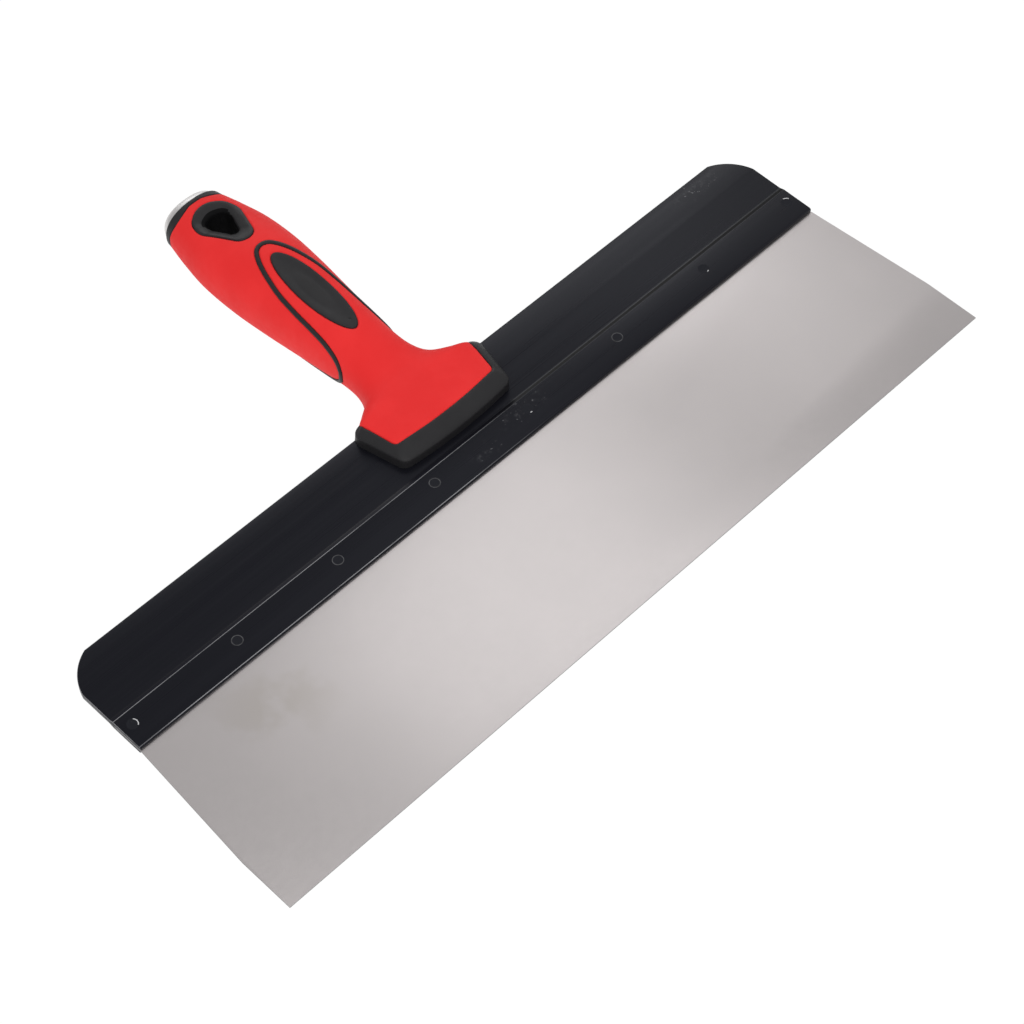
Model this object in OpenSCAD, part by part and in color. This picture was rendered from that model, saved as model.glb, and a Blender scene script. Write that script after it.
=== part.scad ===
// Drywall taping knife: wide spring-steel blade riveted into a black aluminium backer,
// with a two-colour soft-grip handle and a metal hammer cap.
// It lies as it rests on a table: on its working edge and on the belly of its grip.

/* [Blade] */
// Length of the working edge
blade_w = 350; // [344:1:356]
// Width of the blade where it enters the backer
blade_root_w = 342; // [338:1:344]
// How far the blade stands out of the backer
blade_reach = 79.3; // [70:0.1:90]
// Length of the parallel sides behind the working edge
blade_side = 23.3; // [15:0.1:35]
// Thickness of the blade
blade_t = 0.5; // [0.4:0.05:0.6]

/* [Backer] */
// Length of the backer
backer_w = 342; // [338:1:344]
// Depth of the backer from front edge to back edge
backer_depth = 43.8; // [42:0.1:44.2]
// Depth of the thick jaw that grips the blade
jaw_depth = 14.2; // [13.5:0.1:15]
// Thickness of the jaw
jaw_t = 3.8; // [3.4:0.1:4.2]
// Thickness of the plate behind the jaw
plate_t = 2.5; // [2:0.1:2.6]
// Depth of the slot that takes the blade
slot_depth = 13; // [11:0.5:13]
// Length of the cut on each back corner, along the backer
corner_x = 12.2; // [8:0.1:16]
// Length of the cut on each back corner, across the backer
corner_y = 13.6; // [8:0.1:16]

/* [Blade rivets] */
// Number of rivets along the jaw
rivet_count = 8; // [4:1:8]
// Distance between rivets
rivet_pitch = 47.6; // [30:0.1:47.6]
// Distance of the rivet line behind the front edge
rivet_y = 9; // [7:0.1:10]
// Diameter of the flush heads
rivet_head_d = 4.5; // [4:0.1:5]
// Diameter of the shanks
rivet_d = 3; // [2.5:0.1:3.2]

/* [Handle] */
// Thickness of the red sleeve over the core
sleeve_t = 3; // [2:0.25:3]
// Width of the accent rib
rib_w = 1.8; // [1.6:0.1:2.6]
// Height of the accent rib above the sleeve
rib_proud = 0.5; // [0.3:0.1:0.7]
// Length of each thumb pad
pad_len = 46; // [40:0.5:50]
// Width of each thumb pad
pad_w = 13; // [11:0.5:15]
// Depth of the dish in each thumb pad
pad_dish = 1.1; // [0.3:0.1:1.3]

/* [Tang] */
// Thickness of the steel tang
tang_t = 2.5; // [2:0.1:3]
// Width of the stem
tang_w = 14; // [10:1:14]
// Diameter of the rivets through foot and plate
tang_rivet_d = 4; // [3:0.5:5]

/* [Hidden] */
front_chamfer = 0.9;
ramp = 1.9;
slot_play = 0.05;
corner_arc_r = 20;
far = 400;
eps = 0.01;

// Lengthwise places are measured from the backer's front edge towards the butt.
sleeve_front = 26;
ring_front = 166.5;
skin_back = 167;
ring_back = 168.8;
cap_back = 174;
pad_y = 98;
facets = 32;

// Grip outline: [place, half width, top, bottom, squareness of the section]
grip_line = [
    [sleeve_front, 25, 8.6, 8.6, 8],
    [43.5, 28, 8.6, 8.6, 8],
    [47.6, 24.1, 8.5, 9, 4],
    [52.6, 17.8, 8.4, 9.4, 2.75],
    [59.2, 14.6, 9.2, 10.7, 2.4],
    [68, 13.6, 11.1, 12.7, 2.25],
    [80, 14.1, 13.7, 15.1, 2.25],
    [96, 15.6, 15.5, 16.8, 2.25],
    [111, 17.1, 16.7, 18, 2.25],
    [127, 18.4, 16.3, 18, 2.25],
    [143, 18.5, 13.9, 16.3, 2.25],
    [156, 16.6, 11.6, 14.7, 2.25],
    [skin_back, 14.3, 9.4, 12.8, 2.25]
];
// Places of the rings that the grip's skin is built on
skin_rings = concat([sleeve_front, 34], [for (y = [43.5:1.5:60]) y], [for (y = [64:5:164]) y], [ring_front]);
core_rings = concat([28.3, 42.5], [for (y = [46.5:4:58.5]) y], [for (y = [66:7:164]) y]);

// To either side the butt ring's front edge runs forward: [[distance from the middle, how far], ...]
ring_ear = [[3, 0], [4.5, 0.45], [6, 0.85], [8, 1.3], [10, 1.55], [12, 1.55], [13.4, 1.2], [14.5, 0.6]];
// Rounded end behind the sleeve: [place, how far the outline has drawn in]
ring_line = [[ring_front, 0], [skin_back, 0], [168, 0.1], [168.6, 0.45], [ring_back, 1]];
cap_line = [
    [166.3, 1.4], [ring_back, 1.4], [170.6, 1.7], [172, 2.6], [173.1, 4.3], [173.7, 6.6], [cap_back, 9.6]
];

// Line of the accent rib over one quarter of the grip: [angle round the section from the top, place]
rib_line = [
    [-8, 126.4], [0, 127.6], [8, 126.4], [15, 123.1], [22, 118.5], [30, 112], [37, 105.5],
    [43, 97], [48, 88.5], [54, 80.5], [64, 74], [78, 70.6], [90, 70], [102, 70.6]
];
rib_steps = 16;
rib_sides = 6;

// Outlines of the broad foot: [height, half width at the front, front edge, back edge,
// flare to the back]
collar_levels = [
    [0, 27.3, 19.1, 45.2, 5.5], [4.9, 27.1, 18.9, 45.1, 5.3],
    [6, 26.6, 19.6, 44.95, 5], [8.6, 25.1, 25.9, 44.6, 3.2]
];
collar_round = 4;
foot_level = [8.6, 25, sleeve_front, 44.6, 3.1];
foot_round = 2.5;
foot_bow = 1.8;

// Hang hole: full, rounded triangles, each [half spacing and place of the two wide corners,
// their radius, place and radius of the tip, place and radius of the belly]
eye_rim = [3.1, 154.9, 6.4, 139.1, 5, 152.8, 9.9];
eye_hole = [2.3, 153, 2.8, 144, 2.4, 151.3, 5.1];
eye_wall = 1.5;
eye_funnel = 2.6;
eye_step = 5.5;

tang_front = 27.5;
tang_foot = [40, 15];
tang_tip = 168.6;
tang_tab_w = 8;
tang_fork = 3.4;
tang_play = 0.4;
tang_z = -plate_t / 2 - tang_t;
tang_rivet_x = [-14, 0, 14];
tang_rivet_y = 35;
tang_rivet_head = [7, 1.2];
cap_stem = [17, 9];
cap_stem_front = 164.2;
cap_pin_d = 2.5;
cap_pin_y = 166;
cap_pin_len = 8.6;

// ---- curves ----
function span_of(rows, u, i = 0) = i >= len(rows) - 2 || u < rows[i + 1][0] ? i : span_of(rows, u, i + 1);
function slope_at(rows, i) =
    let (a = max(i - 1, 0), b = min(i + 1, len(rows) - 1))
    (rows[b] - rows[a]) / (rows[b][0] - rows[a][0]);
// A smooth curve through rows of values, read at u
function read(rows, u) =
    let (
        i = span_of(rows, u),
        step = rows[i + 1][0] - rows[i][0],
        t = (u - rows[i][0]) / step,
        t2 = t * t,
        t3 = t2 * t
    )
    (2 * t3 - 3 * t2 + 1) * rows[i] + (t3 - 2 * t2 + t) * step * slope_at(rows, i)
    + (3 * t2 - 2 * t3) * rows[i + 1] + (t3 - t2) * step * slope_at(rows, i + 1);

function bend(v, n) = sign(v) * pow(abs(v), 2 / n);
// A point of the grip's skin at angle a from the top of the section, sunk by inset
function skin(y, a, inset = 0) =
    let (
        g = read(grip_line, min(y, skin_back)),
        mid = (g[2] - g[3]) / 2,
        half_h = (g[2] + g[3]) / 2 - inset,
        half_w = g[1] - inset
    )
    [half_w * bend(sin(a), g[4]), y, mid + half_h * bend(cos(a), g[4])];
function skin_ring(y, inset) = [for (k = [0:facets - 1]) skin(y, 360 * k / facets, inset)];

// ---- resting pose ----
// The grip's lowest line and the working edge touch the table together.
// Where the dished pad is, the grip touches at the pad's rim.
function rim_x(y) = pad_w / 2 * sqrt(max(0, 1 - pow(2 * (y - pad_y) / pad_len, 2)));
function belly_angle(y) =
    let (
        g = read(grip_line, y),
        lift = (g[2] + g[3]) / 2 * (1 - pow(1 - pow(rim_x(y) / g[1], g[4]), 1 / g[4]))
    )
    atan((g[3] - lift - blade_t / 2) / (y + blade_reach));
rest_tilt = max([for (y = [sleeve_front:0.5:skin_back]) belly_angle(y)]);
butt = read(grip_line, skin_back);
butt_mid = (butt[2] - butt[3]) / 2;
length_at_rest = (cap_back + blade_reach) * cos(rest_tilt) - (butt_mid + blade_t / 2) * sin(rest_tilt);

module at_rest() {
    translate([0, -length_at_rest / 2, 0])
        rotate([rest_tilt, 0, 0])
            translate([0, blade_reach, blade_t / 2])
                children();
}

// ---- building blocks ----
// A moulding whose curved skin is meshed as one shell
module moulded() {
    resize([0, 0, 0]) union() children();
}

// A closed skin over a list of rings with equal numbers of points
module skin_over(rings) {
    n = len(rings[0]);
    last = len(rings) - 1;
    polyhedron(
        points = [for (r = rings) each r],
        faces = concat(
            [[for (k = [0:n - 1]) k]],
            [for (j = [0:last - 1], k = [0:n - 1])
                let (a = j * n + k, b = j * n + (k + 1) % n)
                each [[a, a + n, b + n], [a, b + n, b]]],
            [[for (k = [n - 1:-1:0]) last * n + k]]
        )
    );
}

module grip_solid(inset, places) {
    skin_over([for (y = places) skin_ring(y, inset)]);
}

// The drawn-in end of the handle, from rows of [place, inset]
module end_solid(rows) {
    skin_over([for (r = rows) skin_ring(r[0], r[1])]);
}

module eye_plan(e, grow = 0) {
    hull() {
        for (side = [-1, 1])
            translate([side * e[0], e[1]]) circle(r = e[2] + grow, $fn = 32);
        translate([0, e[3]]) circle(r = e[4] + grow, $fn = 32);
        translate([0, e[5]]) circle(r = e[6] + grow, $fn = 48);
    }
}

module slab(z0, z1) {
    translate([0, 0, z0]) linear_extrude(z1 - z0) children();
}

module plate_gap() {
    translate([-far / 2, 0, -plate_t / 2]) cube([far, backer_depth, plate_t]);
}

module each_rivet_place() {
    for (i = [1:rivet_count]) translate([rivet_x(i), rivet_y, 0]) children();
}
function rivet_x(i) = (i - (rivet_count + 1) / 2) * rivet_pitch;

module mirrored_up_and_down() {
    children();
    mirror([0, 0, 1]) children();
}

// ---- blade and backer ----
module blade() {
    side_y = -blade_reach + blade_side;
    color([0.72, 0.71, 0.7]) difference() {
        translate([0, 0, -blade_t / 2]) linear_extrude(blade_t) polygon([
            [-blade_w / 2, -blade_reach], [blade_w / 2, -blade_reach],
            [blade_w / 2, side_y], [blade_root_w / 2, 0], [blade_root_w / 2, slot_depth - slot_play],
            [-blade_root_w / 2, slot_depth - slot_play], [-blade_root_w / 2, 0], [-blade_w / 2, side_y]
        ]);
        each_rivet_place() cylinder(d = rivet_d, h = far, center = true, $fn = 48);
    }
}

module backer_profile() {
    half_slot = blade_t / 2 + slot_play;
    half_jaw = jaw_t / 2;
    half_plate = plate_t / 2;
    polygon([
        [slot_depth, half_slot], [0, half_slot], [0, half_jaw - front_chamfer],
        [front_chamfer, half_jaw], [jaw_depth, half_jaw], [jaw_depth + ramp, half_plate],
        [backer_depth, half_plate], [backer_depth, -half_plate], [jaw_depth + ramp, -half_plate],
        [jaw_depth, -half_jaw], [front_chamfer, -half_jaw], [0, front_chamfer - half_jaw],
        [0, -half_slot], [slot_depth, -half_slot]
    ]);
}

// The waste outside the bulging cut on the right back corner
module corner_waste() {
    start = [backer_w / 2, backer_depth - corner_y];
    stop = [backer_w / 2 - corner_x, backer_depth];
    chord = stop - start;
    half = norm(chord) / 2;
    sag_side = [chord[1], -chord[0]] / norm(chord);
    centre = (start + stop) / 2 - sag_side * sqrt(corner_arc_r * corner_arc_r - half * half);
    difference() {
        polygon([start, start + [5, 0], stop + [corner_x + 5, 5], stop + [0, 5], stop]);
        translate(centre) circle(r = corner_arc_r, $fn = 96);
    }
}

module rivet_seat() {
    half_jaw = jaw_t / 2;
    sink = (rivet_head_d - rivet_d) / 2;
    cylinder(d = rivet_d, h = jaw_t, center = true, $fn = 48);
    for (side = [0, 180])
        rotate([side, 0, 0]) translate([0, 0, half_jaw - sink])
            cylinder(d1 = rivet_d, d2 = rivet_head_d, h = sink, $fn = 48);
}

module tang_rivet_shank(x) {
    translate([x, tang_rivet_y, tang_z]) cylinder(d = tang_rivet_d, h = tang_t + plate_t, $fn = 48);
}

module backer() {
    color([0.15, 0.15, 0.17]) difference() {
        translate([-backer_w / 2, 0, 0]) rotate([90, 0, 90]) linear_extrude(backer_w) backer_profile();
        for (side = [0, 1]) mirror([side, 0, 0]) slab(-jaw_t, jaw_t) corner_waste();
        each_rivet_place() rivet_seat();
        for (x = tang_rivet_x) tang_rivet_shank(x);
    }
}

module blade_rivet(i) {
    color([0.2, 0.2, 0.22]) translate([rivet_x(i), rivet_y, 0]) rivet_seat();
}

// ---- tang ----
module tang_plan() {
    difference() {
        union() {
            translate([-tang_foot[0] / 2, tang_front]) square(tang_foot);
            translate([-tang_w / 2, tang_front]) square([tang_w, eye_hole[3] - tang_front]);
            eye_plan(eye_hole, eye_wall + tang_play + tang_fork);
            translate([-tang_tab_w / 2, eye_hole[1]]) square([tang_tab_w, tang_tip - eye_hole[1]]);
        }
        eye_plan(eye_hole, eye_wall + tang_play);
    }
}

module tang() {
    color([0.6, 0.6, 0.62]) difference() {
        slab(tang_z, tang_z + tang_t) tang_plan();
        for (x = tang_rivet_x) tang_rivet_shank(x);
        translate([0, cap_pin_y, tang_z - 1]) cylinder(d = cap_pin_d, h = tang_t + 2, $fn = 48);
    }
}

module tang_rivet(i) {
    color([0.6, 0.6, 0.62]) {
        tang_rivet_shank(tang_rivet_x[i - 1]);
        translate([tang_rivet_x[i - 1], tang_rivet_y, 0]) {
            translate([0, 0, tang_z - tang_rivet_head[1]])
                cylinder(d = tang_rivet_head[0], h = tang_rivet_head[1], $fn = 48);
            translate([0, 0, plate_t / 2])
                cylinder(d = tang_rivet_head[0], h = tang_rivet_head[1], $fn = 48);
        }
    }
}

// ---- handle ----
// Outline of the foot at one level: bowed front edge, sides that flare to the back, round corners
module foot_plan(level, corner_r) {
    half_back = level[1] + level[4];
    offset(r = corner_r, $fn = 24) offset(delta = -corner_r) polygon(concat(
        [for (k = [-6:6]) [level[1] * k / 6, level[2] + foot_bow * pow(k / 6, 2)]],
        [[half_back, level[3]], [-half_back, level[3]]]
    ));
}

module sleeve_foot_plan() {
    foot_plan(foot_level, foot_round);
}

module hang_hole_body() {
    slab(-far / 2, far / 2) eye_plan(eye_hole, eye_wall);
    for (z = [[eye_step, far / 2], [-far / 2, -eye_step - 2]]) slab(z[0], z[1]) eye_plan(eye_rim);
}

// Everything that the core is moulded round
module core_inserts() {
    plate_gap();
    slab(tang_z, tang_z + tang_t) tang_plan();
    for (i = [1:len(tang_rivet_x)]) tang_rivet(i);
    hang_hole_body();
    cap_stem_solid();
}

module handle_core() {
    color([0.2, 0.2, 0.21]) moulded() difference() {
        grip_solid(sleeve_t, core_rings);
        core_inserts();
    }
}

// The sides of the grip that the butt ring's front edge runs forward into
module ring_ear_plan() {
    for (side = [0, 1]) mirror([side, 0]) polygon(concat(
        [for (e = ring_ear) [e[0], ring_front - e[1]]],
        [[far / 2, ring_front - 0.6], [far / 2, ring_front + 1], [ring_ear[0][0], ring_front + 1]]
    ));
}

// The space inside the butt ring
module ring_bore() {
    wall = cap_line[0][1];
    end_solid([[ring_front - 3, wall], [ring_front - 1, wall], [ring_back + 1, wall]]);
}

module pad_plan() {
    polygon([for (a = [0:10:350]) [pad_w / 2 * cos(a), pad_y + pad_len / 2 * sin(a)]]);
}

module grip_sleeve() {
    color([0.84, 0.1, 0.1]) moulded() difference() {
        union() {
            grip_solid(0, skin_rings);
            slab(-foot_level[0], foot_level[0]) sleeve_foot_plan();
        }
        grip_solid(sleeve_t, core_rings);
        core_inserts();
        slab(-far / 2, far / 2) pad_plan();
        rib_solid();
        difference() {
            slab(-far / 2, far / 2) ring_ear_plan();
            ring_bore();
        }
    }
}

module thumb_pad(side) {
    dish_r = (pad_len * pad_len / 4 + pad_dish * pad_dish) / (2 * pad_dish);
    crown = skin(pad_y, side > 0 ? 0 : 180)[2] * side;
    color([0.17, 0.17, 0.18]) moulded() difference() {
        intersection() {
            grip_solid(0.3, skin_rings);
            slab(side > 0 ? 0 : -far / 2, side > 0 ? far / 2 : 0) pad_plan();
        }
        grip_solid(sleeve_t, core_rings);
        translate([0, pad_y, side * (crown - pad_dish + dish_r)])
            rotate([0, 90, 0]) cylinder(r = dish_r, h = pad_w * 2, center = true, $fn = 240);
    }
}

// Angles and places of the rib's line, once round the grip
rib_path = [for (quarter = [0:3], k = [0:rib_steps - 1])
    let (
        forward = quarter % 2 == 0,
        t = 90 * (forward ? k : rib_steps - k) / rib_steps,
        place = read(rib_line, t)[1]
    )
    skin(place, quarter * 90 + 90 * k / rib_steps, rib_w / 2 - rib_proud)];

module rib_solid() {
    n = len(rib_path);
    rings = [for (i = [0:n - 1])
        let (
            p = rib_path[i],
            along = rib_path[(i + 1) % n] - rib_path[(i + n - 1) % n],
            t = along / norm(along),
            out = [p[0], 0, p[2] + 1],
            flat = out - t * (out * t),
            u = flat / norm(flat),
            v = cross(t, u)
        )
        [for (s = [0:rib_sides - 1])
            let (a = 360 * (s + 0.5) / rib_sides) p + rib_w / 2 * (cos(a) * u + sin(a) * v)]];
    polyhedron(
        points = [for (r = rings) each r],
        faces = [for (i = [0:n - 1], s = [0:rib_sides - 1])
            let (
                a = i * rib_sides + s,
                b = i * rib_sides + (s + 1) % rib_sides,
                c = (i + 1) % n * rib_sides + s,
                d = (i + 1) % n * rib_sides + (s + 1) % rib_sides
            )
            each [[a, c, d], [a, d, b]]]
    );
}

module accent_rib() {
    color([0.17, 0.17, 0.18]) rib_solid();
}

module collar() {
    color([0.17, 0.17, 0.18]) moulded() difference() {
        hull() mirrored_up_and_down()
            for (level = collar_levels)
                slab(level[0], level[0] + eps) foot_plan(level, collar_round);
        slab(-far / 2, far / 2) sleeve_foot_plan();
        grip_solid(0, skin_rings);
        plate_gap();
    }
}

module hang_hole_liner() {
    color([0.17, 0.17, 0.18]) moulded() difference() {
        intersection() {
            grip_solid(0, skin_rings);
            hang_hole_body();
        }
        slab(-far / 2, far / 2) eye_plan(eye_hole);
        for (side = [-1, 1]) {
            tip = skin(eye_rim[3] - eye_rim[4], side > 0 ? 0 : 180);
            run = skin(eye_rim[1] + eye_rim[2], side > 0 ? 0 : 180) - tip;
            lean = run[2] / run[1];
            multmatrix([[1, 0, 0, 0], [0, 1, 0, 0], [0, lean, 1, tip[2] - lean * tip[1]]]) hull() {
                translate([0, 0, -side * eye_funnel]) slab(-eps, eps) eye_plan(eye_hole);
                translate([0, 0, side * 0.3]) slab(-eps, eps) eye_plan(eye_rim, -0.3);
            }
        }
    }
}

module butt_ring() {
    color([0.17, 0.17, 0.18]) moulded() difference() {
        union() {
            end_solid(ring_line);
            intersection() {
                grip_solid(0, skin_rings);
                slab(-far / 2, far / 2) ring_ear_plan();
            }
        }
        ring_bore();
    }
}

module cap_stem_solid() {
    translate([-cap_stem[0] / 2, cap_stem_front, butt_mid - cap_stem[1] / 2])
        cube([cap_stem[0], cap_line[0][0] - cap_stem_front + 1, cap_stem[1]]);
}

module hammer_cap() {
    color([0.8, 0.8, 0.8]) moulded() difference() {
        union() {
            end_solid(cap_line);
            cap_stem_solid();
        }
        slab(tang_z, tang_z + tang_t) tang_plan();
        translate([0, cap_pin_y, butt_mid])
            cylinder(d = cap_pin_d, h = cap_pin_len, center = true, $fn = 32);
    }
}

module cap_pin() {
    color([0.6, 0.6, 0.62]) translate([0, cap_pin_y, butt_mid])
        cylinder(d = cap_pin_d, h = cap_pin_len, center = true, $fn = 48);
}

at_rest() blade();
at_rest() backer();
for (i = [1:rivet_count]) at_rest() blade_rivet(i);
at_rest() tang();
for (i = [1:len(tang_rivet_x)]) at_rest() tang_rivet(i);
at_rest() handle_core();
at_rest() grip_sleeve();
at_rest() collar();
at_rest() thumb_pad(1);  // thumb_pad_top
at_rest() thumb_pad(-1);  // thumb_pad_bottom
at_rest() accent_rib();
at_rest() hang_hole_liner();
at_rest() butt_ring();
at_rest() hammer_cap();
at_rest() cap_pin();
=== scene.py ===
import math

import bmesh
import bpy
import numpy as np
from mathutils import Matrix, Vector
from mathutils.kdtree import KDTree


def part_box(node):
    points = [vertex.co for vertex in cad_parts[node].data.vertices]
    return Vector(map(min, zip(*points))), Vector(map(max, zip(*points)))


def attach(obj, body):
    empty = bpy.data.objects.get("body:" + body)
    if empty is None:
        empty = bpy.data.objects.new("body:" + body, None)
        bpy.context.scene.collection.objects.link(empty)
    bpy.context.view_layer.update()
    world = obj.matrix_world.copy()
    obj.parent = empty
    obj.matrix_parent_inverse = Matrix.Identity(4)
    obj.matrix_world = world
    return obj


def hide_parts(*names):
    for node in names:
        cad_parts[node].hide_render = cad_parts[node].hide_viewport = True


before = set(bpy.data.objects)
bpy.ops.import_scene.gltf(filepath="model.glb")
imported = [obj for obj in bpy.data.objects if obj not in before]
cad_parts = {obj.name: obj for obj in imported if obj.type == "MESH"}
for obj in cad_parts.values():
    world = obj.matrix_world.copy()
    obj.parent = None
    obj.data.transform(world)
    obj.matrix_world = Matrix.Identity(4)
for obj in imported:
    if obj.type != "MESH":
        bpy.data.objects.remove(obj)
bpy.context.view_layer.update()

# The script works in millimetres in the tool's own plane: x along the blade, y from the backer's
# front edge towards the butt, z up from the middle of the blade. TOOL lays that plane as it rests.
MM = 0.001
FLOOR_Z = -0.2

# Blade: thickness, depth in its slot, length of the parallel sides behind the working edge
BLADE_T, BLADE_TUCK, BLADE_SIDE = 0.5, 12.95, 23.3
# Backer: depth, half thickness of the jaw and of the plate
BACKER_DEPTH, HALF_JAW, HALF_PLATE = 43.8, 1.9, 1.25
# Cut of its back corners along and across the blade, and the cut's radius
CORNER_X, CORNER_Y, CORNER_R = 12.2, 13.6, 20.0
# Half of a flush rivet's profile: radius, height
HALF_RIVET = [
    (1.45, 0.0), (1.45, 1.2), (2.24, 1.82), (2.22, 1.9), (2.06, 1.935), (1.86, 1.91), (0.9, 1.915),
]
# Rivets whose ring is rubbed bright over part of its turn: middle and half reach in degrees
RUBBED = {1: (-5, 48), 8: (50, 34), 5: (-95, 13), 7: (-80, 12)}

SLEEVE_FRONT, SLEEVE_BACK, SKIN_BACK = 26.0, 166.5, 167.0
SLEEVE_T = 1.2
# Seams in the sleeve: depth and radius of the moulded edge
INSERT_SEAM, RIB_SEAM, RING_SEAM = (0.9, 0.8), (0.6, 0.5), (0.9, 0.7)
# To either side the butt ring's front edge runs forward: distance from the middle, how far
RING_EAR = np.array([
    [3, 0], [4.5, 0.45], [6, 0.85], [8, 1.3], [10, 1.55], [12, 1.55], [13.4, 1.2], [14.5, 0.6],
])
# Grip outline: place, half width, top, bottom, squareness of the section
GRIP = np.array([
    [26, 25, 8.6, 8.6, 8],
    [43.5, 28, 8.6, 8.6, 8],
    [47.6, 24.1, 8.5, 9, 4],
    [52.6, 17.8, 8.4, 9.4, 2.75],
    [59.2, 14.6, 9.2, 10.7, 2.4],
    [68, 13.6, 11.1, 12.7, 2.25],
    [80, 14.1, 13.7, 15.1, 2.25],
    [96, 15.6, 15.5, 16.8, 2.25],
    [111, 17.1, 16.7, 18, 2.25],
    [127, 18.4, 16.3, 18, 2.25],
    [143, 18.5, 13.9, 16.3, 2.25],
    [156, 16.6, 11.6, 14.7, 2.25],
    [167, 14.3, 9.4, 12.8, 2.25],
])
# Accent rib over one quarter of the grip: angle round the section from the top, place
RIB = np.array([
    [-8, 126.4], [0, 127.6], [8, 126.4], [15, 123.1], [22, 118.5], [30, 112], [37, 105.5],
    [43, 97], [48, 88.5], [54, 80.5], [64, 74], [78, 70.6], [90, 70], [102, 70.6],
])
RIB_W = 1.8
PAD_Y, PAD_LEN, PAD_W = 98.0, 46.0, 13.0
PAD_DISH = 1.1
# Hang hole: half spacing and place of the two wide corners, their radius, place and radius of the
# tip, place and radius of the belly
EYE_RIM = (3.1, 154.9, 6.4, 139.1, 5, 152.8, 9.9)
EYE_HOLE = (2.3, 153, 2.8, 144, 2.4, 151.3, 5.1)
# Outline of the foot: half width at the front, front edge, back edge, flare to the back
RED_FOOT = (25, 26, 44.6, 3.1)
FOOT_ROUND = 2.5
FOOT_BOW = 1.8
# Along this stretch behind the foot its outline gives way to the neck's
FOOT_FADE = (42, 47)


# ---- the tool's place in the frame ----
def tool_matrix():
    """The matrix of the tool's plane, and how far the blade stands out, from the CAD blade's box."""
    low, high = (np.array(c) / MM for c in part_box("blade"))
    depth, height = high[1] - low[1], high[2] - low[2]
    # The box holds the blade's thickness as well, so the tilt is found by repeated steps
    tilt = math.atan2(height, depth)
    for _ in range(8):
        tilt = math.atan2(height - BLADE_T * math.cos(tilt), depth - BLADE_T * math.sin(tilt))
    reach = math.hypot(depth, height) - BLADE_TUCK - BLADE_T * math.sin(2 * tilt)
    tip = Vector((0, low[1] + BLADE_T * math.sin(tilt), low[2])) * MM
    return (Matrix.Translation(tip) @ Matrix.Rotation(tilt, 4, "X")
            @ Matrix.Translation(Vector((0, reach, BLADE_T / 2)) * MM)), reach


TOOL, REACH = tool_matrix()
HALF_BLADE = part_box("blade")[1].x / MM
HALF_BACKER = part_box("backer")[1].x / MM


# ---- curves and the grip's skin ----
def read(rows, u):
    """A smooth curve through rows of values, read at each u."""
    u = np.atleast_1d(np.asarray(u, float))
    places = rows[:, 0]
    last = len(rows) - 1
    i = np.clip(np.searchsorted(places, u, side="right") - 1, 0, last - 1)
    before = np.maximum(np.arange(len(rows)) - 1, 0)
    after = np.minimum(np.arange(len(rows)) + 1, last)
    slopes = (rows[after] - rows[before]) / (places[after] - places[before])[:, None]
    step = (places[i + 1] - places[i])[:, None]
    t = (u[:, None] - places[i][:, None]) / step
    return ((2 * t**3 - 3 * t**2 + 1) * rows[i] + (t**3 - 2 * t**2 + t) * step * slopes[i]
            + (3 * t**2 - 2 * t**3) * rows[i + 1] + (t**3 - t**2) * step * slopes[i + 1])


def grip_at(y):
    """Half width, top, bottom and squareness of the grip's section at each place."""
    g = read(GRIP, np.minimum(y, SKIN_BACK))
    return g[:, 1], g[:, 2], g[:, 3], g[:, 4]


def skin_z(x, y, side):
    """Height of the grip's skin over a point of the tool plane, above (side 1) or below (side -1)."""
    w, top, bottom, n = grip_at(y)
    share = np.clip(np.abs(x) / w, 0, 0.995)
    return (top - bottom) / 2 + side * (top + bottom) / 2 * (1 - share**n) ** (1 / n)


def section_point(y, w, top, bottom, n, angle, inset=0):
    """A point of a section drawn in by inset, at an angle in radians round it from the top."""
    s, c = np.sin(angle), np.cos(angle)
    half = (top + bottom) / 2 - inset
    return np.stack([(w - inset) * np.sign(s) * np.abs(s) ** (2 / n), np.broadcast_to(y, s.shape),
                     (top - bottom) / 2 + half * np.sign(c) * np.abs(c) ** (2 / n)], -1)


def skin_point(y, angle):
    """A point of the skin at an angle in radians round the section, from the top."""
    return section_point(y, *grip_at(y), angle)


def smooth_step(low, high, v):
    t = np.clip((v - low) / (high - low), 0, 1)
    return t * t * (3 - 2 * t)


def grid_normals(p):
    """Outward normals of a grid of points: rows run along y, columns close round the grip."""
    along = np.gradient(p, axis=0)
    around = np.roll(p, -1, 1) - np.roll(p, 1, 1)
    n = np.cross(around, along)
    return n / np.maximum(np.linalg.norm(n, axis=2, keepdims=True), 1e-9)


# ---- plan outlines ----
def eye_outline(e, count):
    """A full, rounded triangle: the belt round four circles, from the middle of its wide end."""
    half, y_wide, r_wide, y_tip, r_tip, y_belly, r_belly = e
    circles = np.array([
        [half, y_wide, r_wide], [-half, y_wide, r_wide], [0, y_tip, r_tip], [0, y_belly, r_belly],
    ])
    a = np.linspace(math.pi / 2, -1.5 * math.pi, 720, endpoint=False)
    facing = np.column_stack([np.cos(a), np.sin(a)])
    outermost = circles[(facing @ circles[:, :2].T + circles[:, 2]).argmax(1)]
    return even(outermost[:, :2] + outermost[:, 2:] * facing, count)


def even(outline, count):
    """A closed outline with its points spread evenly along it."""
    closed = np.vstack([outline, outline[:1]])
    reach = np.concatenate([[0], np.cumsum(np.linalg.norm(np.diff(closed, axis=0), axis=1))])
    at = np.linspace(0, reach[-1], count, endpoint=False)
    return np.stack([np.interp(at, reach, closed[:, k]) for k in range(closed.shape[1])], 1)


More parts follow.
